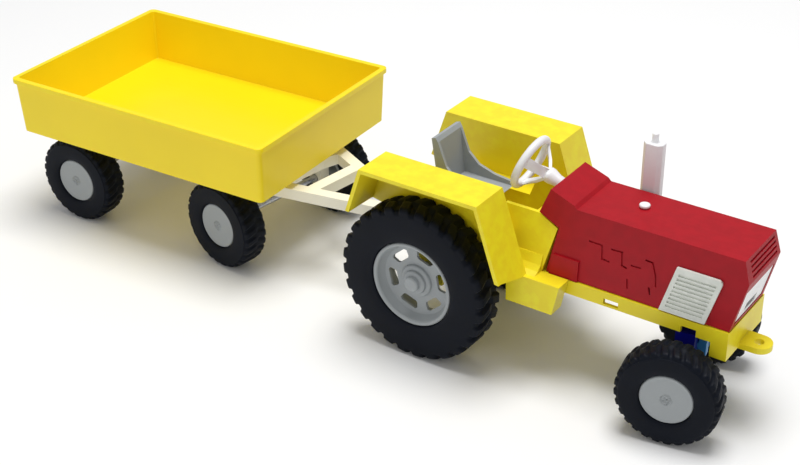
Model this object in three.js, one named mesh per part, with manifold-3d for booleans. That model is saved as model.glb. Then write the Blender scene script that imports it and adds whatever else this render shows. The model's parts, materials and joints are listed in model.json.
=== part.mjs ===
// A plastic toy tractor that pulls a four-wheeled trailer, in millimetres.
// +X points forward, +Y to the tractor's left and +Z up. The tractor is laid out from the
// ground under its rear axle. The trailer hangs on the hitch pin in nested groups, so each
// angle of the train is one constant.
import * as THREE from 'three';
import { mergeVertices } from 'three/addons/utils/BufferGeometryUtils.js';
import Module from 'manifold-3d';

const wasm = await Module();
wasm.setup();

// ---------------------------------------------------------------- driving sizes
const gap = 0.3; // clearance between neighbouring pieces
const wall = 2; // thickness of the moulded shells
const rodRadius = 2; // steel axle rods
const boreRadius = rodRadius + gap; // what the rods run in

const steerYaw = THREE.MathUtils.degToRad(10.2); // front axle against the tractor
const drawbarYaw = THREE.MathUtils.degToRad(-7.89); // drawbar against the tractor
const trailerYaw = THREE.MathUtils.degToRad(10.55); // trailer against its drawbar

const rearWheel = { radius: 41.4, width: 18.6, rim: 22.5, hub: 9, outer: 47.8, sides: 36 };
const rimWindow = { count: 6, first: THREE.MathUtils.degToRad(48.7), inner: 11.7, outer: 16.4 };
const smallWheel = { radius: 24.8, width: 16.4, rim: 12.6, hub: 4.5, outer: 43.2, sides: 28 };
const trailerWheel = { ...smallWheel, outer: 49.7 };

const chassis = { halfWidth: 20, bottom: 48, top: 55.4, rear: -13, front: 152.4 };
const nose = { rear: 144.2, bottom: 40.5 }; // the deep block at the chassis' front end
const tongue = { halfWidth: 6.2, tip: 166, bottom: 40, top: 43, hole: 2.3 };
const hitch = { x: -24, pin: 1.9, jaw: 6.5 };
const frontAxle = { x: 127.3, rear: -3.6, front: 5.6, bottom: 40, top: 47.6, kingpin: 3 };

const body = {
  front: 57.3, rear: -16, halfWidth: 16, flare: 0.16, bottom: 55.8, shelf: 72, top: 84, floor: 58,
};
const fender = { inner: 26.7, outer: 49.7, top: 98, rear: -27.6, front: 38.4, lean: 0.34 };
const step = { rear: 43.5, inner: 20.5, outer: 29.6, bottom: 40, top: 56 };
const hood = { bottom: 55.8, top: 92, halfWidth: 16.8, flare: 0.062 };
const seat = { halfWidth: 11, bottom: 76 };
const steering = {
  x: 37.7, z: 99.5, tilt: THREE.MathUtils.degToRad(-69.5), radius: 12.7, tube: 2, dish: 10.8, shaft: 3,
};
const exhaust = { x: 90.5, y: 22.5, bottom: 66, top: 115.5, peg: 74 };
const cap = { x: 97, y: 2.5, radius: 2.6, top: 93.8 };
const pegRadius = 1.5; // pegs that hold the cap and the exhaust in the hood

const drawbar = { bottom: 44, top: 50.3, eye: 6, turntable: -106.4, halfWidth: 32.8 };
const tub = { centre: -52.4, length: 171.8, width: 121.1, bottom: 54.8, top: 87.2, lip: 1.2 };
const trailerRearAxle = tub.centre - 58;
const trailerPin = 2.5;

// ---------------------------------------------------------------- finishes
const plastic = (color, roughness = 0.35) =>
  new THREE.MeshStandardMaterial({ color, roughness, metalness: 0, flatShading: true });
const finish = {
  yellow: plastic('#e8d22e'),
  warmYellow: plastic('#f2c81e'),
  red: plastic('#a51c2c'),
  white: plastic('#ececef'),
  ivory: plastic('#cfd2c8'),
  cream: plastic('#f1ead0'),
  grey: plastic('#96999a'),
  navy: plastic('#0b1580'),
  lightBlue: plastic('#3c82be'),
  rubber: plastic('#0e1117', 0.7),
  steel: new THREE.MeshStandardMaterial({ color: '#b9bcc0', roughness: 0.3, metalness: 1 }),
};

// ---------------------------------------------------------------- solids
// A closed three.js geometry as a solid that can be cut and joined.
function toSolid(geometry) {
  geometry.deleteAttribute('normal');
  geometry.deleteAttribute('uv');
  const merged = mergeVertices(geometry, 1e-4);
  return new wasm.Manifold(new wasm.Mesh({
    numProp: 3,
    vertProperties: Float32Array.from(merged.attributes.position.array),
    triVerts: Uint32Array.from(merged.index.array),
  }));
}

function toGeometry(solid) {
  const { vertProperties, triVerts } = solid.getMesh();
  const geometry = new THREE.BufferGeometry();
  geometry.setAttribute('position', new THREE.BufferAttribute(vertProperties, 3));
  geometry.setIndex(new THREE.BufferAttribute(triVerts, 1));
  return geometry;
}

const join = (first, ...others) => others.reduce((whole, next) => whole.add(next), first);
const cut = (first, ...others) => others.reduce((whole, next) => whole.subtract(next), first);

// A box given by its ranges along X, Y and Z.
function block([x0, x1], [y0, y1], [z0, z1]) {
  const shape = new THREE.BoxGeometry(x1 - x0, y1 - y0, z1 - z0);
  shape.translate((x0 + x1) / 2, (y0 + y1) / 2, (z0 + z1) / 2);
  return toSolid(shape);
}

const axes = {
  x: new THREE.Vector3(1, 0, 0),
  y: new THREE.Vector3(0, 1, 0),
  z: new THREE.Vector3(0, 0, 1),
  backY: new THREE.Vector3(0, -1, 0),
};

// An outline extruded along its normal, then turned so that its own two directions and
// its normal lie along u, v and w. reshape(x, y, z) may move each point once it is placed.
function extrude(outline, depth, [u, v, w], start, reshape) {
  const points = outline.map(([a, b]) => new THREE.Vector2(a, b));
  const shape = new THREE.ExtrudeGeometry(new THREE.Shape(points), { depth, bevelEnabled: false });
  shape.applyMatrix4(new THREE.Matrix4().makeBasis(u, v, w));
  shape.translate(start.x, start.y, start.z);
  if (reshape) {
    const { position } = shape.attributes;
    for (let i = 0; i < position.count; i += 1) {
      position.setXYZ(i, ...reshape(position.getX(i), position.getY(i), position.getZ(i)));
    }
  }
  return toSolid(shape);
}

// Outlines in XZ, YZ and XY, which run along Y, X and Z.
const sidePlate = (outline, [y0, y1], reshape) =>
  extrude(outline, y1 - y0, [axes.x, axes.z, axes.backY], { x: 0, y: y1, z: 0 }, reshape);
const crossPlate = (outline, [x0, x1], reshape) =>
  extrude(outline, x1 - x0, [axes.y, axes.z, axes.x], { x: x0, y: 0, z: 0 }, reshape);
const topPlate = (outline, [z0, z1], reshape) =>
  extrude(outline, z1 - z0, [axes.x, axes.y, axes.z], { x: 0, y: 0, z: z0 }, reshape);

// A profile of [radius, y] points turned about the Y axis. The facets' flats, not their
// corners, stand at the radius, and one of them faces down, so a wheel rests on a flat.
function turned(profile, sides) {
  const points = profile.map(([r, y]) => new THREE.Vector2(r / Math.cos(Math.PI / sides), y));
  return toSolid(new THREE.LatheGeometry(points, sides, Math.PI / sides));
}

function crossRod(x, z, radius, [y0, y1], sides = 16) {
  const shape = new THREE.CylinderGeometry(radius, radius, y1 - y0, sides);
  shape.translate(x, (y0 + y1) / 2, z);
  return toSolid(shape);
}

function uprightRod(x, y, radius, [z0, z1], sides = 20) {
  const shape = new THREE.CylinderGeometry(radius, radius, z1 - z0, sides);
  shape.rotateX(Math.PI / 2);
  shape.translate(x, y, (z0 + z1) / 2);
  return toSolid(shape);
}

// A counterclockwise outline moved inwards by a distance, for a shell's inner face.
function inset(outline, distance) {
  const edge = (i) => {
    const [ax, ay] = outline[i % outline.length];
    const [bx, by] = outline[(i + 1) % outline.length];
    const normal = new THREE.Vector2(ay - by, bx - ax).normalize();
    return { normal, offset: normal.x * ax + normal.y * ay + distance };
  };
  return outline.map((_, i) => {
    const a = edge(i + outline.length - 1);
    const b = edge(i);
    const det = a.normal.x * b.normal.y - a.normal.y * b.normal.x;
    return [
      (a.offset * b.normal.y - b.offset * a.normal.y) / det,
      (a.normal.x * b.offset - b.normal.x * a.offset) / det,
    ];
  });
}

const across = (half) => [-half, half];
const mirror = (outline) => outline.map(([u, v]) => [-u, v]).reverse();
// A range, or what make(side) gives, on the left (1) and on the right (-1).
const sided = (side, [inner, outer]) => (side > 0 ? [inner, outer] : [-outer, -inner]);
const bothSides = (make) => [1, -1].map(make);

// ---------------------------------------------------------------- scene graph
const toy = new THREE.Group();

function add(parent, name, solid, material) {
  const mesh = new THREE.Mesh(toGeometry(solid), material);
  mesh.name = name;
  parent.add(mesh);
  return mesh;
}

function frameAt(parent, name, x, y, z) {
  const frame = new THREE.Group();
  frame.name = name;
  frame.position.set(x, y, z);
  parent.add(frame);
  return frame;
}

// ---------------------------------------------------------------- wheels
// Every tyre and rim is made with its outer face at y = 0 and the rest below it.
function tyreSolid({ radius, width, rim, sides }) {
  const bead = rim + gap;
  const shoulder = radius * 0.955;
  const profile = [
    [bead, 1.2 - width],
    [rim + 4, -width],
    [shoulder, 0.6 - width],
    [radius, 2.6 - width],
    [radius, -2.6],
    [shoulder, -0.6],
    [rim + 4, 0],
    [bead, -1.2],
  ];
  return turned([...profile, profile[0]], sides);
}

// A dished rim with six windows and a stepped hub round the end of the axle.
function rearRimSolid({ width, rim, hub }) {
  const web = [-8.5, -6.5];
  const lip = rim - 1.8;
  const disc = turned([
    [0, -5],
    [boreRadius, -5],
    [boreRadius, 1 - width],
    [5, 1 - width],
    [5, web[0]],
    [lip, web[0]],
    [lip, 2 - width],
    [rim, 2 - width],
    [rim, -1.4],
    [lip, -1.4],
    [lip - 1.2, web[1]],
    [hub, web[1]],
    [hub - 1.5, -4.6],
    [6, -3.4],
    [4, -3],
    [4, -1],
    [0, -1],
  ], 24);
  const { count, first, inner, outer } = rimWindow;
  const half = [
    [inner, 3.2], [inner + 0.9, 4.2], [outer - 1.2, 5.2], [outer, 4],
  ];
  const outline = [...half.map(([r, along]) => [r, -along]), ...half.reverse()];
  const windows = Array.from({ length: count }, (_, i) => {
    const turn = first + (i * 2 * Math.PI) / count;
    const [c, s] = [Math.cos(turn), Math.sin(turn)];
    return sidePlate(outline.map(([u, v]) => [c * u - s * v, s * u + c * v]), [-12, -4]);
  });
  return cut(disc, ...windows);
}

// A flat-faced rim, hollow behind, with a small boss in the middle.
function smallRimSolid({ width, rim, hub }) {
  return turned([
    [0, -4],
    [boreRadius, -4],
    [boreRadius, 0.6 - width],
    [hub, 0.6 - width],
    [hub, -3.6],
    [rim - 1.6, -3.6],
    [rim - 1.6, 1 - width],
    [rim, 1 - width],
    [rim, -1.6],
    [2.6, -1.6],
    [2.6, -1],
    [0, -1],
  ], 16);
}

// Two wheels pressed on one rod that turns in its frame.
function wheelPair(parent, prefix, x, size, rimSolid) {
  const line = frameAt(parent, `${prefix}_axle_line`, x, 0, size.radius);
  add(line, `${prefix}_axle`, crossRod(0, 0, rodRadius, across(size.outer - 5.5)), finish.steel);
  for (const [side, turn] of [['left', 0], ['right', Math.PI]]) {
    const wheel = new THREE.Group();
    wheel.rotation.z = turn;
    line.add(wheel);
    add(wheel, `${prefix}_rim_${side}`, rimSolid(size), finish.grey).position.y = size.outer;
    add(wheel, `${prefix}_tyre_${side}`, tyreSolid(size), finish.rubber).position.y = size.outer;
  }
}

// ---------------------------------------------------------------- chassis
// A channel, open below, with the rear bearings and the hitch jaw behind and a deep
// hollow block with the tow tongue in front.
function chassisSolid() {
  const { halfWidth, bottom, top, rear, front } = chassis;
  const inside = across(halfWidth - wall);
  const below = 1;
  const rail = cut(
    block([rear, nose.rear + wall], across(halfWidth), [bottom, top]),
    block([rear + wall, nose.rear + wall + below], inside, [bottom - below, top - wall]),
  );
  const noseBlock = cut(
    block([nose.rear, front], across(halfWidth), [nose.bottom, top]),
    block([nose.rear + wall, front - wall], inside, [nose.bottom - below, top - wall]),
    block([nose.rear - below, nose.rear + wall + below], inside, [bottom, top - wall]),
  );
  const bearings = bothSides((side) => block([-7, 7], sided(side, [18, 29.4]), [34.5, 52]));
  const jawRear = hitch.x - hitch.jaw;
  const jaw = join(
    block([jawRear, rear + wall], across(10), [drawbar.top + gap, top]),
    block([jawRear, rear + wall], across(10), [40, drawbar.bottom - gap]),
    block([rear, rear + wall], across(10), [40, top]),
  );
  const tipX = tongue.tip - tongue.halfWidth;
  const thick = [tongue.bottom, tongue.top];
  const tow = join(
    block([front - wall, tipX], across(tongue.halfWidth), thick),
    uprightRod(tipX, 0, tongue.halfWidth, thick, 24),
  );
  return cut(
    join(rail, noseBlock, ...bearings, jaw, tow),
    crossRod(0, rearWheel.radius, boreRadius, across(30)),
    uprightRod(hitch.x, 0, hitch.pin + gap, [38, 60]),
    uprightRod(tipX, 0, tongue.hole, [tongue.bottom - 1, tongue.top + 1]),
    uprightRod(frontAxle.x, 0, frontAxle.kingpin + gap, [50, 60]),
    block([90.3, 97.9], across(halfWidth + 1), [49, 52]),
    block([129.5, 137], across(halfWidth + 1), [bottom - below, 51.5]),
  );
}

// A headed pin that hangs from a plate above what it holds.
const headedPin = (x, radius, head, [headBottom, headTop], top) => join(
  uprightRod(x, 0, radius, [headBottom, top]),
  uprightRod(x, 0, head, [headBottom, headTop]),
);

// ---------------------------------------------------------------- cab body
// The outline of a fender's panels, inset by a thickness and drawn on well below them.
function fenderOutline(thickness) {
  const { top, rear, front, lean } = fender;
  const low = 40;
  const high = top - thickness;
  const spread = (z) => lean * (top - z) - thickness * Math.hypot(1, lean);
  return [
    [rear - spread(low), low],
    [front + spread(low), low],
    [front + spread(high), high],
    [rear - spread(high), high],
  ];
}

// A top and two slanted panels on an upright inner wall. Its lower edge falls forwards
// and is higher on the outer side.
function fenderSolid(side) {
  const shell = sidePlate(fenderOutline(0), sided(side, [fender.inner, fender.outer]));
  const arch = sidePlate(fenderOutline(wall), sided(side, [fender.inner + wall, fender.outer + 1]));
  const edge = { inner: (x) => 64.4 - 0.185 * x, outer: (x) => 67.9 - 0.148 * x };
  const belowEdge = sidePlate(
    [[-60, 30], [70, 30], [70, 50], [-60, 50]],
    sided(side, [fender.inner - 1, fender.outer + 1]),
    (x, y, z) => {
      const lowest = Math.abs(y) < fender.outer ? edge.inner(x) : edge.outer(x);
      return [x, y, z > 40 ? lowest : z];
    },
  );
  return cut(shell, arch, belowEdge);
}

// The footboard in front of each rear wheel, hollow from below, and the curved fillet
// that carries it from the driver's well.
function stepSolid(side) {
  const { rear, inner, outer, bottom, top } = step;
  const outline = [[rear, bottom], [68.6, bottom], [71.9, top], [rear, top]];
  const hollow = inset([[rear, bottom - 2 * wall], [67.8, bottom - 2 * wall], ...outline.slice(2)], wall);
  const fillet = [
    [19, body.bottom], [inner, body.bottom], [inner, 54], [27, 54], [27, top],
    [24, 57.2], [21.6, 59.5], [19.6, 64], [18.5, 64],
  ];
  return join(
    cut(
      sidePlate(outline, sided(side, [inner, outer])),
      sidePlate(hollow, sided(side, [inner + wall, outer - wall])),
    ),
    crossPlate(side > 0 ? fillet : mirror(fillet), [rear, body.front]),
  );
}

// The driver's well is an open box whose walls spread downwards; they are high beside the
// dash and low beside the seat, where a shelf joins each one to its fender.
function cabBodySolid() {
  const { halfWidth, flare, rear, front, bottom, shelf, top, floor } = body;
  const spread = (thickness) => (x, y, z) =>
    [x, Math.sign(y) * (halfWidth - thickness + flare * (top - z)), z];
  const well = sidePlate(
    [[rear, bottom], [front, bottom], [62.9, 79], [52.6, top], [34, top], [29, shelf], [rear, shelf]],
    across(0.01),
    spread(0),
  );
  const inside = sidePlate(
    [[rear + wall, floor], [front - wall, floor], [59.6, 76.8], [50.4, 81], [50.4, 90], [rear + wall, 90]],
    across(0.01),
    spread(wall),
  );
  const shelves = bothSides((side) =>
    block([rear, 40], sided(side, [halfWidth + 1, fender.inner + wall / 2]), [shelf - wall, shelf]));
  const pedestal = block([-4, 14], across(7), [floor - 1, seat.bottom - 0.4]);
  return join(
    cut(well, inside), pedestal, ...shelves, ...bothSides(fenderSolid), ...bothSides(stepSolid),
  );
}

// ---------------------------------------------------------------- hood
const hoodHalfWidth = (z) => hood.halfWidth + hood.flare * (hood.top - z);
const flared = (x, y, z) => [x, Math.sign(y) * (Math.abs(y) + hoodHalfWidth(z)), z];
const hoodFront = (z) => 158 - 0.237 * (81.1 - z);
const grille = { halfWidth: 15.3, bottom: 58.3, top: 75.5, slot: 6 };

// A tapered shell, open below, with a raised box at its rear foot, the dash hump behind
// and a front that leans back under the nose.
function hoodSolid() {
  const under = 6;
  const outline = [
    [59 - 0.206 * under, hood.bottom - under],
    [hoodFront(hood.bottom - under), hood.bottom - under],
    [158, 81.1],
    [154.9, hood.top],
    [72.3, hood.top],
    [70.8, 93.6],
    [58.2, 98.3],
    [53.1, 85.3],
    [64, 80.1],
  ];
  const shell = sidePlate(outline, across(0.01), flared);
  const cavity = sidePlate(inset(outline, wall), across(0.01), (x, y, z) =>
    [x, Math.sign(y) * (hoodHalfWidth(z) - wall), z]);
  const sideBox = sidePlate([[60.3, 52], [76, 52], [76, 66.5], [62.4, 66.5]], across(1), flared);
  const window = block([140, 160], across(grille.halfWidth + gap),
    [grille.bottom - gap, grille.top + gap]);
  return cut(
    join(shell, sideBox),
    cavity,
    block([40, 170], across(30), [hood.bottom - under - 1, hood.bottom]),
    window,
    steeringShaftHole(),
    uprightRod(cap.x, cap.y, pegRadius + gap, [85, 95]),
    crossRod(exhaust.x, exhaust.peg, pegRadius + gap, [10, 25]),
  );
}

function frontGrilleSolid() {
  const { halfWidth, bottom, top, slot } = grille;
  const plate = sidePlate([
    [hoodFront(bottom) - 2.3, bottom],
    [hoodFront(bottom) - gap, bottom],
    [hoodFront(top) - gap, top],
    [hoodFront(top) - 2.3, top],
  ], across(halfWidth));
  return cut(plate, block([140, 165], across(slot), [60.5, 64.5]));
}

// The louvred panel on the hood's flank leans forwards like the nose.
function sideGrilleSolid(side) {
  const outline = [[118.1, 56.4], [140.6, 56.4], [146.4, 77.6], [146.2, 79.2], [145, 80], [124.6, 80]];
  return sidePlate(outline, sided(side, [gap, gap + 1.2]), flared);
}

function exhaustSolid() {
  const { x, y, bottom, top } = exhaust;
  const side = [[5, -1.7], [5, 1.7], [3, 3.7], [-3, 3.7]];
  const section = [...side, ...side.map(([u, v]) => [-u, -v])];
  return join(
    topPlate(section.map(([u, v]) => [x + u, y + v]), [bottom, top]),
    uprightRod(x, y, 1.6, [top - 1, 120], 16),
    crossRod(x, exhaust.peg, pegRadius, [15, y], 12),
  );
}

const radiatorCapSolid = () => join(
  uprightRod(cap.x, cap.y, cap.radius, [hood.top + gap, cap.top], 24),
  uprightRod(cap.x, cap.y, pegRadius, [88, hood.top + 1], 12),
);

// ---------------------------------------------------------------- driver's place
// A bucket seat: a pan and a leaning back between two wings that sweep down forwards.
function seatSolid() {
  const { halfWidth, bottom } = seat;
  const wing = [
    [-7.2, bottom], [20, bottom], [23, 78], [22.6, 80], [12, 81.2],
    [3, 84], [-3, 89.5], [-7.8, 101.5], [-9.2, 103.8], [-11.5, 103],
  ];
  const inside = [[-5, bottom + wall], [30, bottom + wall], [30, 110], [-8.9, 110]];
  return cut(sidePlate(wing, across(halfWidth)), sidePlate(inside, across(halfWidth - 1.6)));
}

// Solids made about the steering shaft's axis, with the ring at the origin and the driver
// towards +Z, and how they stand in the tractor.
const steeringPlace = new THREE.Matrix4()
  .makeRotationY(steering.tilt)
  .setPosition(steering.x, 0, steering.z);

function steeringShaftHole() {
  const shape = new THREE.CylinderGeometry(steering.shaft + gap, steering.shaft + gap, 20, 20);
  shape.rotateX(Math.PI / 2);
  shape.translate(0, 0, -26);
  shape.applyMatrix4(steeringPlace);
  return toSolid(shape);
}

// A ring on three spokes, dished towards a hub and a shaft in one piece.
function steeringWheelSolid() {
  const { radius, tube, dish, shaft } = steering;
  const ring = toSolid(new THREE.TorusGeometry(radius, tube, 8, 30));
  const hub = new THREE.LatheGeometry([
    [0, -28], [shaft, -28], [shaft, -15], [5, -dish - 2], [4.4, -dish + 0.8], [0, -dish + 1.4],
  ].map(([r, h]) => new THREE.Vector2(r, h)), 20);
  hub.rotateX(Math.PI / 2);
  const spokes = [0, 1, 2].map((i) => {
    const turn = new THREE.Matrix4().makeRotationZ(((2 * i + 1) * Math.PI) / 3);
    const bar = new THREE.BoxGeometry(Math.hypot(radius, dish) - 1, 4.4, 1.6);
    bar.rotateY(-Math.atan2(dish, radius));
    bar.translate(radius / 2, 0, -dish / 2);
    bar.applyMatrix4(turn);
    return toSolid(bar);
  });
  return join(ring, toSolid(hub), ...spokes);
}

// ---------------------------------------------------------------- front axle
// A bridge under the chassis with a boss round the kingpin and a bearing at each side. Its
// raised middle turns inside the chassis' channel.
function axleCarrierSolid() {
  const { rear, front, bottom, top, kingpin } = frontAxle;
  const centre = smallWheel.radius;
  const wheelFace = smallWheel.outer - smallWheel.width;
  const thick = [rear, front];
  return cut(
    join(
      block(thick, across(19.5), [bottom, top]),
      block(thick, across(14.5), [bottom, 51]),
      uprightRod(0, 0, 6.5, [top - 1, chassis.top - wall - gap]),
      ...bothSides((side) => block(thick, sided(side, [13, 17]), [centre, bottom + 1])),
      ...bothSides((side) => crossRod(0, centre, 5, sided(side, [13, wheelFace - gap]))),
    ),
    crossRod(0, centre, boreRadius, across(30)),
    uprightRod(0, 0, kingpin + gap, [39, 56]),
  );
}

// A clip that hangs on the rod beside the carrier's bearing, keeps it in line and reaches
// up in front of the bridge.
function axleClipSolid(side) {
  const tip = [frontAxle.front + gap, frontAxle.front + 4.2];
  const outline = [
    [-5, 19.5], [5, 19.5], [tip[1], 33], [tip[1], 43], [tip[0], 43],
    [tip[0], frontAxle.bottom - 0.4], [-5, frontAxle.bottom - 0.4],
  ];
  return cut(
    sidePlate(outline, sided(side, [8, 12.6])),
    crossRod(0, smallWheel.radius, boreRadius, across(30)),
  );
}

// ---------------------------------------------------------------- trailer
// An A-frame from the hitch eye to the turntable, with the front axle's two bearings.
function drawbarSolid() {
  const { bottom, top, eye, turntable, halfWidth } = drawbar;
  const thick = [bottom, top];
  const frame = [
    [0, 4.5], [-12, 4.8], [-86, 29.3], [turntable, 29.3],
    [turntable, -29.3], [-86, -29.3], [-12, -4.8], [0, -4.5],
  ];
  const frontHole = [[-22, 0.8], [-60.5, 14.1], [-60.5, -14.1], [-22, -0.8]];
  const rearHole = [[-67.5, 16.3], [-82, 21], [-84, 12], [-84, -12], [-82, -21], [-67.5, -16.3]];
  const beam = [turntable - 6.5, turntable + 6.5];
  return cut(
    join(
      topPlate(frame, thick),
      uprightRod(0, 0, eye, thick),
      uprightRod(turntable, 0, 19, thick, 32),
      block(beam, across(halfWidth), thick),
      ...bothSides((side) => axleBearing(turntable, side, bottom + 1)),
    ),
    topPlate(frontHole, [bottom - 1, top + 1]),
    topPlate(rearHole, [bottom - 1, top + 1]),
    uprightRod(0, 0, hitch.pin + gap, [bottom - 1, top + 1]),
    uprightRod(turntable, 0, trailerPin + gap, [bottom - 1, top + 1]),
    crossRod(turntable, trailerWheel.radius, boreRadius, across(40)),
  );
}

// The upright cheek that carries a trailer axle at one side.
const axleBearing = (x, side, top) =>
  block([x - 4.6, x + 4.6], sided(side, [26, drawbar.halfWidth]), [20.5, top]);

const rearFrameSolid = () => cut(
  join(
    block([trailerRearAxle - 9, trailerRearAxle + 9], across(drawbar.halfWidth), [50, tub.bottom - gap]),
    ...bothSides((side) => axleBearing(trailerRearAxle, side, 51)),
  ),
  crossRod(trailerRearAxle, trailerWheel.radius, boreRadius, across(40)),
);

// A rectangle about the tub's centre with its corners rounded in three steps.
function roundedRectangle(length, width, radius) {
  const shape = new THREE.Shape();
  const corners = [[-1, -1, Math.PI], [1, -1, 1.5 * Math.PI], [1, 1, 0], [-1, 1, Math.PI / 2]];
  for (const [sx, sy, start] of corners) {
    const [x, y] = [tub.centre + sx * (length / 2 - radius), sy * (width / 2 - radius)];
    shape.absarc(x, y, radius, start, start + Math.PI / 2);
  }
  return shape.getPoints(3).map(({ x, y }) => [x, y]);
}

// An open tray whose walls lean in towards the floor under a small outer lip.
function tubSolid() {
  const { centre, length, width, bottom, top, lip } = tub;
  const lean = 1.3 / (top - bottom);
  const leaning = (x, y, z) => {
    const inwards = lean * (top - z);
    return [x - Math.sign(x - centre) * inwards, y - Math.sign(y) * inwards, z];
  };
  const inner = lip + wall;
  return cut(
    join(
      topPlate(roundedRectangle(length - 2 * lip, width - 2 * lip, 2.6), [bottom, top], leaning),
      topPlate(roundedRectangle(length, width, 3.4), [top - 2.8, top]),
      uprightRod(0, 0, 8, [drawbar.top + 0.4, bottom + 1], 24),
    ),
    topPlate(
      roundedRectangle(length - 2 * inner, width - 2 * inner, 1.4), [bottom + 2.3, top + 1], leaning,
    ),
    uprightRod(0, 0, trailerPin + gap, [40, bottom + 1.3]),
  );
}

// ---------------------------------------------------------------- assembly
add(toy, 'chassis', chassisSolid(), finish.yellow);
add(toy, 'cab_body', cabBodySolid(), finish.yellow);
add(toy, 'hood', hoodSolid(), finish.red);
add(toy, 'front_grille', frontGrilleSolid(), finish.white);
add(toy, 'side_grille_left', sideGrilleSolid(1), finish.ivory);
add(toy, 'side_grille_right', sideGrilleSolid(-1), finish.ivory);
add(toy, 'exhaust_stack', exhaustSolid(), finish.white);
add(toy, 'radiator_cap', radiatorCapSolid(), finish.white);
add(toy, 'seat', seatSolid(), finish.grey);
add(toy, 'hitch_pin', headedPin(hitch.x, hitch.pin, 3.6, [38.2, 39.7], 55), finish.yellow);
add(toy, 'kingpin', headedPin(frontAxle.x, frontAxle.kingpin, 4.8, [37.6, 39.7], 55.2), finish.lightBlue);

const steeringFrame = frameAt(toy, 'steering_line', 0, 0, 0);
steeringFrame.applyMatrix4(steeringPlace);
add(steeringFrame, 'steering_wheel', steeringWheelSolid(), finish.white);

wheelPair(toy, 'rear', 0, rearWheel, rearRimSolid);

const frontFrame = frameAt(toy, 'kingpin_line', frontAxle.x, 0, 0);
frontFrame.rotation.z = steerYaw;
add(frontFrame, 'front_axle_carrier', axleCarrierSolid(), finish.navy);
add(frontFrame, 'axle_clip_left', axleClipSolid(1), finish.lightBlue);
add(frontFrame, 'axle_clip_right', axleClipSolid(-1), finish.lightBlue);
wheelPair(frontFrame, 'front', 0, smallWheel, smallRimSolid);

const drawbarFrame = frameAt(toy, 'hitch_line', hitch.x, 0, 0);
drawbarFrame.rotation.z = drawbarYaw;
add(drawbarFrame, 'drawbar', drawbarSolid(), finish.cream);
wheelPair(drawbarFrame, 'trailer_front', drawbar.turntable, trailerWheel, smallRimSolid);

const trailerFrame = frameAt(drawbarFrame, 'turntable_line', drawbar.turntable, 0, 0);
trailerFrame.rotation.z = trailerYaw;
add(trailerFrame, 'trailer_tub', tubSolid(), finish.warmYellow);
const turntablePin = headedPin(0, trailerPin, 4.6, [41.5, 43.7], tub.bottom + 1);
add(trailerFrame, 'turntable_pin', turntablePin, finish.cream);
add(trailerFrame, 'trailer_rear_frame', rearFrameSolid(), finish.cream);
wheelPair(trailerFrame, 'trailer_rear', trailerRearAxle, trailerWheel, smallRimSolid);

// The origin is on the ground under the middle of the whole train.
toy.updateMatrixWorld(true);
const extent = new THREE.Box3().setFromObject(toy, true);
const centre = extent.getCenter(new THREE.Vector3());
toy.position.set(-centre.x, -centre.y, -extent.min.z);

export default toy;
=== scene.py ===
"""Looks for the toy tractor and its trailer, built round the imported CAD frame.

Every moulding is made in millimetres in a local frame (the tractor's, the drawbar's, the
trailer's or an axle's) and placed by that frame's matrix, which comes from the joints.
"""
import json
import math

import bmesh
import bpy
from mathutils import Matrix, Vector, noise


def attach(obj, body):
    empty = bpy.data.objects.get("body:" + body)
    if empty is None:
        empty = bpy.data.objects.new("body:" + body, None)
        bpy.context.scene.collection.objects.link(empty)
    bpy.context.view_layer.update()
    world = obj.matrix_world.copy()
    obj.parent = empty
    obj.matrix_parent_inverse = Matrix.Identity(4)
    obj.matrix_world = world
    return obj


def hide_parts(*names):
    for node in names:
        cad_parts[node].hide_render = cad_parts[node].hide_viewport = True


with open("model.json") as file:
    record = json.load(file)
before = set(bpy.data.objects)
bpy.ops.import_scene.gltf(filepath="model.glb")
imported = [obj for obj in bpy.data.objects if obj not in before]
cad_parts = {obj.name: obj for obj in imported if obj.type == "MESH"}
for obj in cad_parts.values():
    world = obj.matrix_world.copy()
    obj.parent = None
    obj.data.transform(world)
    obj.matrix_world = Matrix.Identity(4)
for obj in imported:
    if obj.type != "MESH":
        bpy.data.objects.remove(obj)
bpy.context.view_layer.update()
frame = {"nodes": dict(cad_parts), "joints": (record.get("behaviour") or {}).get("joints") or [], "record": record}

# ------------------------------------------------------------------ frames
MM = 0.001
JOINTS = {joint["name"]: joint for joint in frame["joints"]}
SLOT_OF = {part["node"]: part["material_slot"] for part in frame["record"]["subparts"]}
BODY_OF = {
    node: body
    for body, nodes in frame["record"]["behaviour"]["bodies"].items()
    for node in nodes
}


def place(joint, height=None, axis_of=None):
    """Millimetres to the row frame: at a joint, with Y along a wheel axle's axis."""
    x, y, z = JOINTS[joint]["pos_m"]
    ax, ay, _ = JOINTS[axis_of or joint]["axis"]
    turn = Matrix.Rotation(math.atan2(-ax, ay), 4, "Z")
    spot = Matrix.Translation((x, y, z if height is None else height))
    return spot @ turn @ Matrix.Scale(MM, 4)


TRACTOR = place("rear_wheels_spin", height=0)
DRAWBAR = place("hitch_turn", height=0, axis_of="trailer_front_wheels_spin")
TRAILER = place("turntable_turn", height=0, axis_of="trailer_rear_wheels_spin")
FRONT_AXLE = place("front_axle_steer", height=0, axis_of="front_wheels_spin")


def along_shaft(joint):
    """Millimetres to the row frame: at a joint, with Z along its axis."""
    axis = JOINTS[joint]["axis"]
    turn = Matrix.Rotation(math.atan2(axis[0], axis[2]), 4, "Y")
    return Matrix.Translation(JOINTS[joint]["pos_m"]) @ turn @ Matrix.Scale(MM, 4)


STEERING = along_shaft("steering_turn")


def extent(node, local):
    """A CAD node's lowest and highest corner, in millimetres in a local frame."""
    back = local.inverted()
    points = [back @ v.co for v in frame["nodes"][node].data.vertices]
    low = Vector([min(p[i] for p in points) for i in range(3)])
    high = Vector([max(p[i] for p in points) for i in range(3)])
    return low, high


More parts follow.
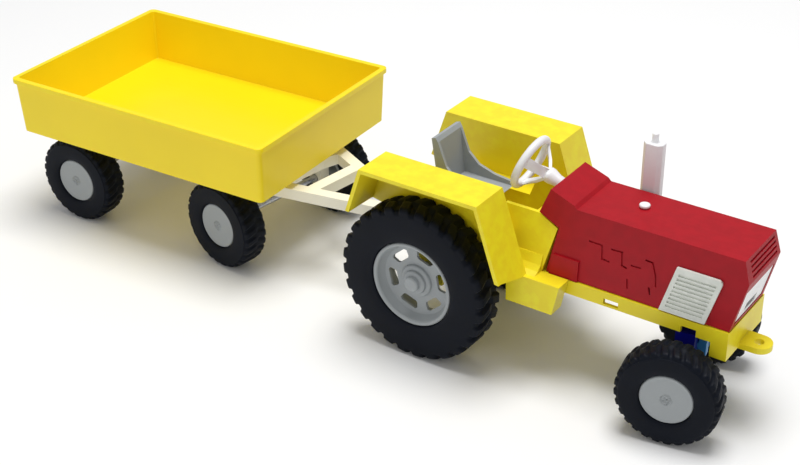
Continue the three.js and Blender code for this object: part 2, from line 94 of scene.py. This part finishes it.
# ------------------------------------------------------------------ materials
def srgb(r, g, b):
    """A colour given as 0-255 sRGB, as the shader's linear values."""
    def linear(c):
        c = c / 255
        return c / 12.92 if c <= 0.04045 else ((c + 0.055) / 1.055) ** 2.4
    return (linear(r), linear(g), linear(b), 1)


class Nodes:
    """A short way to build a node tree."""

    def __init__(self, name):
        self.material = bpy.data.materials.new(name)
        self.material.use_nodes = True
        self.tree = self.material.node_tree
        self.shader = self.tree.nodes["Principled BSDF"]

    def add(self, kind, inputs=(), **settings):
        node = self.tree.nodes.new(kind)
        for key, value in settings.items():
            setattr(node, key, value)
        for key, value in dict(inputs).items():
            self.feed(node, key, value)
        return node

    def feed(self, node, key, value):
        if isinstance(value, bpy.types.NodeSocket):
            self.tree.links.new(value, node.inputs[key])
        else:
            node.inputs[key].default_value = value

    def noise(self, vector, scale, detail=3.0, roughness=0.5):
        return self.add("ShaderNodeTexNoise", {
            "Vector": vector, "Scale": scale, "Detail": detail, "Roughness": roughness,
        }).outputs["Fac"]

    def ramp(self, value, low, high, to_low=0.0, to_high=1.0):
        return self.add("ShaderNodeMapRange", {
            "Value": value, "From Min": low, "From Max": high, "To Min": to_low, "To Max": to_high,
        }).outputs["Result"]

    def mix(self, factor, a, b):
        node = self.add("ShaderNodeMix", data_type="RGBA")
        self.feed(node, 0, factor)
        self.feed(node, 6, a)
        self.feed(node, 7, b)
        return node.outputs[2]

    def math(self, operation, a, b):
        return self.add("ShaderNodeMath", {0: a, 1: b}, operation=operation).outputs["Value"]


def scaled(color, factor):
    """A colour made lighter or darker, within what a shader takes."""
    return tuple(min(1, channel * factor) for channel in color[:3]) + (1,)


def moulded_plastic(name, color, roughness=0.36, grain=0.05, edge_highlight_strength=0.3, gloss=0.4):
    """Injection-moulded plastic: slow flow marks in its colour, a fine skin, faint scuffs
    that lie in one direction, and a painted highlight that makes the edges lighter in patches."""
    n = Nodes(name)
    spot = n.add("ShaderNodeTexCoord").outputs["Object"]
    flow = n.noise(spot, 28, detail=2)
    base = n.mix(n.ramp(flow, 0.35, 0.65), scaled(color, 0.985), scaled(color, 1.012))
    edges = n.add("ShaderNodeNewGeometry").outputs["Pointiness"]
    patchy = n.ramp(n.noise(spot, 180, detail=4), 0.4, 0.62)
    # painted highlight: the edges are made lighter, in patches, where light would catch them
    edge_highlight = n.math("MULTIPLY", n.ramp(edges, 0.515, 0.58, 0, edge_highlight_strength), patchy)
    n.feed(n.shader, "Base Color", n.mix(edge_highlight, base, scaled(color, 1.35)))
    streaks = n.add("ShaderNodeMapping", {"Vector": spot, "Scale": (9, 260, 260)})
    scuffs = n.noise(streaks.outputs["Vector"], 3.0, detail=5, roughness=0.65)
    n.feed(n.shader, "Roughness", n.ramp(scuffs, 0.3, 0.75, roughness - 0.03, roughness + 0.05))
    skin = n.noise(spot, 1900, detail=2)
    marks = n.math("ADD", n.math("MULTIPLY", skin, 0.5), n.math("MULTIPLY", scuffs, 0.5))
    bump = n.add("ShaderNodeBump", {"Strength": grain, "Distance": 0.0003, "Height": marks})
    n.feed(n.shader, "Normal", bump.outputs["Normal"])
    n.shader.inputs["IOR"].default_value = 1.5
    n.shader.inputs["Specular IOR Level"].default_value = gloss
    return n.material


def tyre_rubber(name, color):
    """Soft black moulding: a matt skin with shinier rubbed tops and a trace of dust."""
    n = Nodes(name)
    spot = n.add("ShaderNodeTexCoord").outputs["Object"]
    blotch = n.noise(spot, 70, detail=5, roughness=0.6)
    edges = n.add("ShaderNodeNewGeometry").outputs["Pointiness"]
    base = n.mix(n.ramp(blotch, 0.35, 0.7), color, scaled(color, 1.35))
    dust = n.math("MULTIPLY", n.ramp(edges, 0.50, 0.42, 0, 0.25), blotch)
    n.feed(n.shader, "Base Color", n.mix(dust, base, srgb(26, 30, 38)))
    n.feed(n.shader, "Roughness", n.ramp(edges, 0.49, 0.56, 0.62, 0.42))
    skin = n.math("ADD", n.noise(spot, 1400, detail=3), n.math("MULTIPLY", blotch, 0.6))
    bump = n.add("ShaderNodeBump", {"Strength": 0.16, "Distance": 0.0004, "Height": skin})
    n.feed(n.shader, "Normal", bump.outputs["Normal"])
    n.shader.inputs["Specular IOR Level"].default_value = 0.16
    return n.material


def drawn_steel(name):
    """Bright drawn wire, with fine lines along it."""
    n = Nodes(name)
    spot = n.add("ShaderNodeTexCoord").outputs["Object"]
    stretched = n.add("ShaderNodeMapping", {"Vector": spot, "Scale": (700, 12, 700)})
    lines = n.noise(stretched.outputs["Vector"], 4.0, detail=3)
    n.feed(n.shader, "Base Color", n.mix(lines, srgb(168, 171, 176), srgb(205, 207, 211)))
    n.feed(n.shader, "Roughness", n.ramp(lines, 0.3, 0.7, 0.22, 0.4))
    bump = n.add("ShaderNodeBump", {"Strength": 0.1, "Distance": 0.0002, "Height": lines})
    n.feed(n.shader, "Normal", bump.outputs["Normal"])
    n.shader.inputs["Metallic"].default_value = 1.0
    return n.material


MATERIALS = {
    "yellow_plastic": moulded_plastic("yellow_plastic", srgb(242, 222, 36)),
    "warm_yellow_plastic": moulded_plastic("warm_yellow_plastic", srgb(252, 224, 18)),
    "red_plastic": moulded_plastic("red_plastic", srgb(162, 6, 24), roughness=0.45, gloss=0.25),
    "white_plastic": moulded_plastic("white_plastic", srgb(236, 236, 238), roughness=0.3),
    "ivory_plastic": moulded_plastic("ivory_plastic", srgb(222, 226, 218), roughness=0.5),
    "cream_plastic": moulded_plastic("cream_plastic", srgb(250, 246, 228), roughness=0.34),
    "grey_plastic": moulded_plastic("grey_plastic", srgb(158, 163, 165), roughness=0.4),
    # navy_plastic and light_blue_plastic stand for one blue plastic: navy is its painted shade, light blue its
    # painted highlight where light falls on it
    "navy_plastic": moulded_plastic("navy_plastic", srgb(6, 8, 120), roughness=0.34),
    "light_blue_plastic": moulded_plastic("light_blue_plastic", srgb(60, 136, 198)),
    "tyre_rubber": tyre_rubber("tyre_rubber", srgb(2, 7, 19)),
    "axle_steel": drawn_steel("axle_steel"),
}


# ------------------------------------------------------------------ mesh tools
BROAD = 4.0  # faces of mouldings above this many square millimetres are shaded plain


def mesh_object(name, bm):
    """A bmesh as an object of the scene."""
    mesh = bpy.data.meshes.new(name)
    bm.normal_update()
    bm.to_mesh(mesh)
    bm.free()
    piece = bpy.data.objects.new(name, mesh)
    bpy.context.scene.collection.objects.link(piece)
    return piece


def applied(piece):
    """The piece with its modifiers worked into its mesh."""
    bpy.context.view_layer.update()
    graph = bpy.context.evaluated_depsgraph_get()
    result = bpy.data.meshes.new_from_object(piece.evaluated_get(graph))
    piece.modifiers.clear()
    old = piece.data
    piece.data = result
    bpy.data.meshes.remove(old)
    return piece


def boolean(piece, tools, operation):
    """The piece with every tool cut away from it or joined to it, one after another."""
    for tool in tools:
        change = piece.modifiers.new("cut", "BOOLEAN")
        change.operation = operation
        change.solver = "EXACT"
        change.object = tool
    applied(piece)
    for tool in tools:
        bpy.data.objects.remove(tool)
    return piece


def rounded(piece, width, angle=30, broad=None):
    """Round every edge sharper than the angle, in the piece's own units."""
    bevel = piece.modifiers.new("round", "BEVEL")
    bevel.width = width
    bevel.segments = 2
    bevel.limit_method = "ANGLE"
    bevel.angle_limit = math.radians(angle)
    bevel.miter_outer = "MITER_ARC"
    bevel.use_clamp_overlap = True
    applied(piece)
    return smoothed(piece, 38, broad)


def smoothed(piece, angle=38, broad=None):
    """Blended shading. Every face larger than broad stays plain, so that on a moulding
    only the rounded edges are blended."""
    mesh = piece.data
    mesh.shade_smooth()
    if broad is not None:
        for face in mesh.polygons:
            face.use_smooth = face.area < broad
        return piece
    mesh.set_sharp_from_angle(angle=math.radians(angle))
    level = piece.modifiers.new("normals", "WEIGHTED_NORMAL")
    level.keep_sharp = True
    return applied(piece)


def show(piece, *nodes, local=None):
    """Put a piece in its place and let it stand for its CAD nodes."""
    if local is not None:
        piece.data.transform(local)
    slot = SLOT_OF[nodes[0]]
    piece.data.materials.clear()
    piece.data.materials.append(MATERIALS[slot])
    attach(piece, BODY_OF[nodes[0]])
    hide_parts(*nodes)
    return piece


def cad_copy(node, name, local):
    """The CAD node's own solid, as a clean mesh in millimetres in a local frame."""
    bm = bmesh.new()
    bm.from_mesh(frame["nodes"][node].data)
    bm.transform(local.inverted())
    bmesh.ops.remove_doubles(bm, verts=bm.verts, dist=1e-3)
    bmesh.ops.dissolve_limit(bm, angle_limit=math.radians(0.6), verts=bm.verts, edges=bm.edges)
    bmesh.ops.recalc_face_normals(bm, faces=bm.faces)
    return mesh_object(name, bm)


def prism(name, outline, low, high, plane="XZ", reshape=None):
    """An outline extruded along the axis that its plane leaves out."""
    where = {
        "XZ": lambda u, v, w: (u, w, v),
        "XY": lambda u, v, w: (u, v, w),
        "YZ": lambda u, v, w: (w, u, v),
    }[plane]
    bm = bmesh.new()
    rings = []
    for w in (low, high):
        points = [Vector(where(u, v, w)) for u, v in outline]
        if reshape:
            points = [Vector(reshape(*p)) for p in points]
        rings.append([bm.verts.new(p) for p in points])
    bm.faces.new(rings[0][::-1])
    bm.faces.new(rings[1])
    count = len(outline)
    for i in range(count):
        j = (i + 1) % count
        bm.faces.new((rings[0][i], rings[0][j], rings[1][j], rings[1][i]))
    bmesh.ops.recalc_face_normals(bm, faces=bm.faces)
    return mesh_object(name, bm)


def lathe(name, profile, sides):
    """A profile of (radius, y) points turned about Y; it starts and ends on the axis or
    closes on itself."""
    bm = bmesh.new()
    rings = []
    for radius, y in profile:
        if radius < 1e-6:
            rings.append([bm.verts.new((0, y, 0))] * sides)
            continue
        angles = [2 * math.pi * i / sides for i in range(sides)]
        rings.append([bm.verts.new((radius * math.cos(a), y, radius * math.sin(a))) for a in angles])
    if profile[0] == profile[-1]:
        for vert in set(rings[-1]):
            bm.verts.remove(vert)
        rings[-1] = rings[0]
    for ring, following in zip(rings, rings[1:]):
        for i in range(sides):
            j = (i + 1) % sides
            corners = list(dict.fromkeys((ring[i], ring[j], following[j], following[i])))
            if len(corners) > 2:
                bm.faces.new(corners)
    bmesh.ops.recalc_face_normals(bm, faces=bm.faces)
    return mesh_object(name, bm)


def spline(points, steps):
    """A smooth open line through 2-D points (Catmull-Rom)."""
    padded = [points[0], *points, points[-1]]
    line = []
    for a, b, c, d in zip(padded, padded[1:], padded[2:], padded[3:]):
        for i in range(steps):
            t = i / steps
            weights = (
                -t / 2 + t * t - t ** 3 / 2, 1 - 2.5 * t * t + 1.5 * t ** 3,
                t / 2 + 2 * t * t - 1.5 * t ** 3, -t * t / 2 + t ** 3 / 2,
            )
            line.append(tuple(sum(w * p[k] for w, p in zip(weights, (a, b, c, d))) for k in (0, 1)))
    return [*line, points[-1]]


def step_up(value, start, end):
    """0 before start, 1 after end, smooth between."""
    t = max(0.0, min(1.0, (value - start) / (end - start)))
    return t * t * (3 - 2 * t)


# ------------------------------------------------------------------ wheels
LUG_LEAD = {1: 0.25, -1: 0.75}  # where the lugs of each half begin, in pitches
LUG_SLANT = 0.42  # how much further round a lug ends at the shoulder
LUG_TOP, LUG_FOOT = 0.22, 0.33  # half of a lug's width at its top and foot, at the middle
LUG_FLARE = 0.04  # how much both grow to the shoulder


def tyre(name, radius, width, bead, lugs, depth, steps):
    """A tyre with its outer face at y = 0 and slanted lugs that wrap over both shoulders.

    The surface is a grid of angle and section, lifted along its normal where a lug lies.
    """
    base = radius - depth
    half = width / 2
    wall = base - bead
    inset = 1.6
    inner_side = [
        (bead, inset - half), (bead + 1.0, 0.7 - half), (bead + 0.35 * wall, 0.15 - half),
        (bead + 0.80 * wall, 0.3 - half), (base - 1.6, 0.8 - half),
        (base - 0.3, 2.1 - half), (base, 4.2 - half),
    ]
    outer_side = [(r, -y) for r, y in reversed(inner_side)]
    section = spline([*inner_side, (base + 0.2, 0), *outer_side], 4)
    seat = [(bead, half - inset - i * (width - 2 * inset) / 6) for i in range(1, 6)]
    shoulder = 0.90 * radius
    pitch = 2 * math.pi / lugs

    def lift(angle, r, y):
        """How far a lug raises this point, from 0 to 1."""
        across = y / half
        best = 0.0
        for side in (1, -1):
            reach = across * side
            if reach < -0.12:
                continue
            lead = LUG_LEAD[side] + LUG_SLANT * min(reach, 1.0)
            phase = (angle / pitch - lead + 0.5) % 1.0 - 0.5
            flare = LUG_FLARE * reach
            bar = 1 - step_up(abs(phase), LUG_TOP + flare, LUG_FOOT + flare)
            start = step_up(reach, -0.10, 0.04)
            best = max(best, bar * start)
        return best * step_up(r, shoulder, shoulder + 0.04 * radius)

    bm = bmesh.new()
    outline = section + seat
    count = len(outline)
    normals = []
    for k in range(count):
        (r0, y0), (r1, y1) = outline[k - 1], outline[(k + 1) % count]
        dr, dy = r1 - r0, y1 - y0
        size = math.hypot(dr, dy)
        normals.append((dy / size, -dr / size))
    total = lugs * steps
    rings = []
    for i in range(total):
        angle = 2 * math.pi * i / total
        ring = []
        for (r, y), (nr, ny) in zip(outline, normals):
            rise = depth * lift(angle, r, y) if r > bead + 0.5 else 0
            out = min(radius, r + nr * rise)
            aside = max(-half, min(half, y + ny * rise * 0.45)) - half
            ring.append(bm.verts.new((out * math.sin(angle), aside, -out * math.cos(angle))))
        rings.append(ring)
    for i in range(total):
        ring, following = rings[i], rings[(i + 1) % total]
        for k in range(count):
            m = (k + 1) % count
            bm.faces.new((ring[k], ring[m], following[m], following[k]))
    bmesh.ops.recalc_face_normals(bm, faces=bm.faces)
    return smoothed(mesh_object(name, bm), 50)


WINDOWS = 6
FIRST_WINDOW = 48.7  # degrees round the left rear rim


def rear_rim(name, rim, width, bore):
    """A dished disc with six windows, a rolled lip and a stepped hub with a round cap."""
    profile = [
        (0, -1.0), (3.3, -1.0), (3.9, -1.5), (4.0, -3.4), (5.7, -3.6), (6.2, -4.0), (6.4, -5.2),
        (8.0, -5.4), (8.5, -5.8), (8.8, -6.9), (9.6, -7.2), (17.0, -7.0), (18.4, -6.4),
        (19.5, -5.0), (20.1, -3.4), (20.2, -2.2), (20.7, -1.5), (21.7, -1.2), (22.2, -1.5),
        (rim, -2.1), (rim, -width + 2.0), (rim - 1.8, -width + 2.0), (rim - 1.8, -8.4),
        (17.4, -8.6), (5.0, -8.6), (5.0, -width + 1.0), (bore, -width + 1.0), (bore, -5.0),
        (0, -5.0),
    ]
    disc = lathe(name, profile, 96)
    half = [(11.7, 3.2), (12.5, 4.2), (15.3, 5.2), (16.4, 4.1)]
    outline = [(r, -along) for r, along in half] + half[::-1]
    windows = []
    for k in range(WINDOWS):
        turn = math.radians(FIRST_WINDOW + 360 / WINDOWS * k)
        c, s = math.cos(turn), math.sin(turn)
        spun = [(u * c - v * s, u * s + v * c) for u, v in outline]
        windows.append(prism("window", spun, -14, -3))
    boolean(disc, windows, "DIFFERENCE")
    return rounded(disc, 0.28, angle=28)


def small_rim(name, rim, width, bore):
    """A flat disc, a little hollow behind its rim, with a rough moulding point."""
    profile = [
        (0, -1.0), (0.7, -1.0), (1.4, -1.0), (2.1, -1.05), (2.6, -1.2), (2.9, -1.6), (3.2, -1.75),
        (10.6, -1.75), (11.3, -1.62), (11.9, -1.5), (12.3, -1.65), (rim, -2.1),
        (rim, -width + 1.0), (rim - 1.6, -width + 1.0), (rim - 1.6, -3.6),
        (4.5, -3.6), (4.5, -width + 0.6), (bore, -width + 0.6), (bore, -4.0), (0, -4.0),
    ]
    disc = lathe(name, profile, 72)
    for vert in disc.data.vertices:
        x, y, z = vert.co
        if y > -1.6 and math.hypot(x, z) < 3:
            vert.co.y -= 1.1 * abs(noise.noise(Vector((x, 0, z)) * 1.3 + Vector((3, 1, 7))))
    return rounded(disc, 0.22, angle=28)


def rod(name, radius, low, high, sides=40):
    """A wire rod with chamfered ends, along Y."""
    cut = 0.5
    profile = [
        (0, low), (radius - cut, low), (radius, low + cut),
        (radius, high - cut), (radius - cut, high), (0, high),
    ]
    return rounded(lathe(name, profile, sides), 0.15)


def wheel_set(joint, prefix, make_tyre, make_rim):
    """Both wheels of one axle and its rod, placed from where the CAD nodes stand."""
    local = place(joint)
    low, high = extent(f"{prefix}_axle", local)
    axle = rod(f"{prefix}_axle_rod", high.z, low.y, high.y)
    show(axle, f"{prefix}_axle", local=local)
    for side, turn in (("left", 0.0), ("right", math.pi)):
        low, high = extent(f"{prefix}_tyre_{side}", local)
        outer = max(abs(low.y), abs(high.y))
        spot = local @ Matrix.Rotation(turn, 4, "Z") @ Matrix.Translation((0, outer, 0))
        for kind, make in (("tyre", make_tyre), ("rim", make_rim)):
            show(make(f"{prefix}_{kind}_{side}_moulding"), f"{prefix}_{kind}_{side}", local=spot)


def copies(make):
    """Make the mesh once and hand out copies of it."""
    kept = {}

    def copy(name):
        if "first" not in kept:
            kept["first"] = make(name)
            kept["mesh"] = kept["first"].data.copy()
            return kept["first"]
        piece = bpy.data.objects.new(name, kept["mesh"].copy())
        bpy.context.scene.collection.objects.link(piece)
        return piece
    return copy


def wheel_size(prefix):
    """Radius, width and rim radius of an axle's CAD wheels."""
    local = place(f"{prefix}_wheels_spin")
    low, high = extent(f"{prefix}_tyre_left", local)
    return -low.z, high.y - low.y, extent(f"{prefix}_rim_left", local)[1].z


BORE = 2.3  # radius of the holes that the rods are pressed in
REAR = wheel_size("rear")
SMALL = wheel_size("front")


def fitted_tyre(size, lugs, depth, steps):
    radius, width, rim = size
    return copies(lambda name: tyre(name, radius, width, rim + 0.2, lugs, depth, steps))


wheel_set(
    "rear_wheels_spin", "rear", fitted_tyre(REAR, lugs=28, depth=1.8, steps=16),
    copies(lambda name: rear_rim(name, REAR[2], REAR[1], BORE)),
)
small_tyre = fitted_tyre(SMALL, lugs=28, depth=0.9, steps=12)
small_disc = copies(lambda name: small_rim(name, SMALL[2], SMALL[1], BORE))
for joint in ("front_wheels_spin", "trailer_front_wheels_spin", "trailer_rear_wheels_spin"):
    wheel_set(joint, joint.replace("_wheels_spin", ""), small_tyre, small_disc)


# ------------------------------------------------------------------ mouldings kept from CAD
def moulding(node, local, width):
    """A CAD solid with its edges rounded."""
    piece = rounded(cad_copy(node, f"{node}_moulding", local), width, broad=BROAD)
    return show(piece, node, local=local)


moulding("cab_body", TRACTOR, 0.55)
moulding("chassis", TRACTOR, 0.4)
moulding("hitch_pin", TRACTOR, 0.3)
moulding("kingpin", TRACTOR, 0.3)
moulding("exhaust_stack", TRACTOR, 0.35)
moulding("radiator_cap", TRACTOR, 0.5)
moulding("seat", TRACTOR, 0.5)
moulding("front_grille", TRACTOR, 0.25)
moulding("front_axle_carrier", FRONT_AXLE, 0.4)
moulding("axle_clip_left", FRONT_AXLE, 0.3)
moulding("axle_clip_right", FRONT_AXLE, 0.3)
moulding("drawbar", DRAWBAR, 0.6)
moulding("trailer_tub", TRAILER, 0.55)
moulding("turntable_pin", TRAILER, 0.3)
moulding("trailer_rear_frame", TRAILER, 0.4)


# ------------------------------------------------------------------ hood and its grilles
HOOD = {"top": 92, "half_width": 16.8, "flare": 0.062}
BROW = {"x": 158, "z": 81.1, "lean": 0.284}  # the front's foremost edge and its slope above
FLANK_GROOVE = {"width": 0.9, "depth": 0.6}
BROW_SLOTS = {"count": 4, "lowest": 82.4, "pitch": 2.3, "height": 1.1}
LOUVRES = {"count": 9, "lowest": 58.9, "pitch": 2.1, "height": 1.25, "depth": 0.75}
# What the louvres span: each edge is its x at the foot's height and its lean per millimetre.
PANEL = {"foot": 56.4, "rear": (120.3, 0.275), "front": (138.4, 0.274), "proud": 1.5}


def half_width(z):
    """The hood's half width, which grows downwards."""
    return HOOD["half_width"] + HOOD["flare"] * (HOOD["top"] - z)


def flank_tool(outline, side, depth, above=1.0, proud=0.0):
    """A cutter that goes a depth into the hood's flank, or into a panel proud of it."""
    def reshape(x, y, z):
        level = half_width(z) + proud
        return (x, side * (level - depth if y < 0.5 else level + above), z)
    return prism("tool", outline, 0, 1, reshape=reshape)


def strokes(line, width):
    """A polyline as one quadrilateral per segment, each half a width too long."""
    quads = []
    for a, b in zip(line, line[1:]):
        a, b = Vector(a), Vector(b)
        along = (b - a).normalized() * width / 2
        aside = Vector((-along.y, along.x))
        quads.append([a - along - aside, b + along - aside, b + along + aside, a - along + aside])
    return quads


# The stepped lines moulded in each flank, as (x, z) points.
FLANK_LINES = [
    [(80.4, 78.4), (86.8, 78.3), (87.3, 71.4), (90.7, 71.2)],
    [(91.9, 77.8), (97.0, 78.1), (97.5, 71.3), (99.6, 70.7)],
    [(102.4, 72.9), (106.5, 73.0)],
    [(109.1, 77.8), (112.4, 77.6), (114.5, 71.4), (115.0, 66.3)],
    [(111.8, 64.3), (112.5, 61.4)],
    [(100.9, 64.9), (101.2, 61.0)],
]


def hood():
    """The hood with the stepped lines in its flanks and four slots across its brow."""
    piece = cad_copy("hood", "hood_moulding", TRACTOR)
    tools = [
        flank_tool(quad, side, FLANK_GROOVE["depth"])
        for side in (1, -1) for line in FLANK_LINES for quad in strokes(line, FLANK_GROOVE["width"])
    ]
    for k in range(BROW_SLOTS["count"]):
        low = BROW_SLOTS["lowest"] + BROW_SLOTS["pitch"] * k
        high = low + BROW_SLOTS["height"]
        face = BROW["x"] - BROW["lean"] * (low - BROW["z"])
        slot = [(face - 0.9, low), (face + 1.5, low), (face + 1.5, high), (face - 1.1, high)]
        tools.append(prism("tool", slot, -12.5, 14.5))
    boolean(piece, tools, "DIFFERENCE")
    show(rounded(piece, 0.3, broad=BROAD), "hood", local=TRACTOR)


def side_grille(side):
    """A panel with a plain border round its louvre grooves, which lean with its edges."""
    node = "side_grille_left" if side > 0 else "side_grille_right"
    piece = cad_copy(node, f"{node}_moulding", TRACTOR)
    tools = []
    for k in range(LOUVRES["count"]):
        low = LOUVRES["lowest"] + LOUVRES["pitch"] * k
        rear, front = [
            [(x + lean * (z - PANEL["foot"]), z) for z in (low, low + LOUVRES["height"])]
            for x, lean in (PANEL["rear"], PANEL["front"])
        ]
        groove = [rear[0], front[0], front[1], rear[1]]
        tools.append(flank_tool(groove, side, LOUVRES["depth"], proud=PANEL["proud"]))
    boolean(piece, tools, "DIFFERENCE")
    show(rounded(piece, 0.2, broad=BROAD), node, local=TRACTOR)


hood()
side_grille(1)
side_grille(-1)


# ------------------------------------------------------------------ steering wheel
def torus(name, radius, tube, around=72, section=16):
    """A torus about Z."""
    bm = bmesh.new()
    loops = []
    for i in range(around):
        a = 2 * math.pi * i / around
        loop = []
        for k in range(section):
            b = 2 * math.pi * k / section
            r = radius + tube * math.cos(b)
            loop.append(bm.verts.new((r * math.cos(a), r * math.sin(a), tube * math.sin(b))))
        loops.append(loop)
    for i in range(around):
        here, there = loops[i], loops[(i + 1) % around]
        for k in range(section):
            m = (k + 1) % section
            bm.faces.new((here[k], there[k], there[m], here[m]))
    bmesh.ops.recalc_face_normals(bm, faces=bm.faces)
    return mesh_object(name, bm)


def steering_wheel(radius=12.7, tube=1.95, dish=10.8, shaft=3.0):
    """A round rim on three broad spokes that drop to a cone and its shaft."""
    piece = torus("steering_wheel_moulding", radius, tube)
    cone = lathe("cone", [
        (0, -28), (shaft, -28), (shaft, -16), (3.9, -dish - 1.6), (3.9, -dish + 0.2),
        (2.9, -dish + 1.2), (0, -dish + 1.5),
    ], 40)
    cone.data.transform(Matrix.Rotation(math.pi / 2, 4, "X"))
    end = radius - 0.5
    outline = [(1.0, -2.9), (6.0, -2.3), (end, -2.6), (end, 2.6), (6.0, 2.3), (1.0, 2.9)]
    spokes = []
    for k in range(3):
        spoke = prism("spoke", outline, -0.9, 0.9, "XY", lambda x, y, z: (
            x, y, z - dish + dish * step_up(x, 0.5, radius + 1.5) * 0.96,
        ))
        spoke.data.transform(Matrix.Rotation(math.radians(60 + 120 * k), 4, "Z"))
        spokes.append(spoke)
    boolean(piece, [cone, *spokes], "UNION")
    show(rounded(piece, 0.3, angle=40), "steering_wheel", local=STEERING)


steering_wheel()


# ------------------------------------------------------------------ stage
def camera(spot, yaw, pitch, roll, lens):
    """A camera that stands at a spot in the tractor's frame; angles in degrees."""
    spot = TRACTOR @ Vector(spot)
    yaw, pitch, roll = (math.radians(angle) for angle in (yaw, pitch, roll))
    data = bpy.data.cameras.new("camera")
    data.sensor_width = 36
    data.lens = lens
    data.clip_start = 0.01
    view = bpy.data.objects.new("camera", data)
    view.matrix_world = (
        Matrix.Translation(spot) @ Matrix.Rotation(yaw, 4, "Z")
        @ Matrix.Rotation(math.pi / 2 + pitch, 4, "X") @ Matrix.Rotation(roll, 4, "Z")
    )
    bpy.context.scene.collection.objects.link(view)
    bpy.context.scene.camera = view


def floor():
    """A plain pale floor under the train."""
    bm = bmesh.new()
    bmesh.ops.create_grid(bm, x_segments=2, y_segments=2, size=6)
    ground = mesh_object("floor", bm)
    n = Nodes("floor")
    n.shader.inputs["Base Color"].default_value = (0.92, 0.92, 0.92, 1)
    n.shader.inputs["Roughness"].default_value = 0.9
    n.shader.inputs["Specular IOR Level"].default_value = 0.1
    ground.data.materials.append(n.material)


def soft_light(name, spot, size, power, aim=(0, 0, 0.05)):
    """A round area lamp that faces the train; sizes and places in metres, power in watts."""
    data = bpy.data.lights.new(name, "AREA")
    data.shape = "DISK"
    data.size = size
    data.energy = power
    lamp = bpy.data.objects.new(name, data)
    lamp.location = spot
    lamp.rotation_euler = (Vector(aim) - Vector(spot)).to_track_quat("-Z", "Y").to_euler()
    bpy.context.scene.collection.objects.link(lamp)


def sky(strength):
    """Even white light from all round."""
    world = bpy.data.worlds.new("world")
    world.use_nodes = True
    world.node_tree.nodes["Background"].inputs["Color"].default_value = (1, 1, 1, 1)
    world.node_tree.nodes["Background"].inputs["Strength"].default_value = strength
    bpy.context.scene.world = world


camera((348.2, -552.0, 427.0), yaw=35.01, pitch=-30.11, roll=-0.6, lens=67.25)
floor()
sky(0.42)
soft_light("key", (0.1, 0.05, 1.6), 0.9, 20)
soft_light("fill", (-0.3, -1.5, 0.8), 1.2, 1.5)
bpy.context.scene.view_settings.view_transform = "Standard"
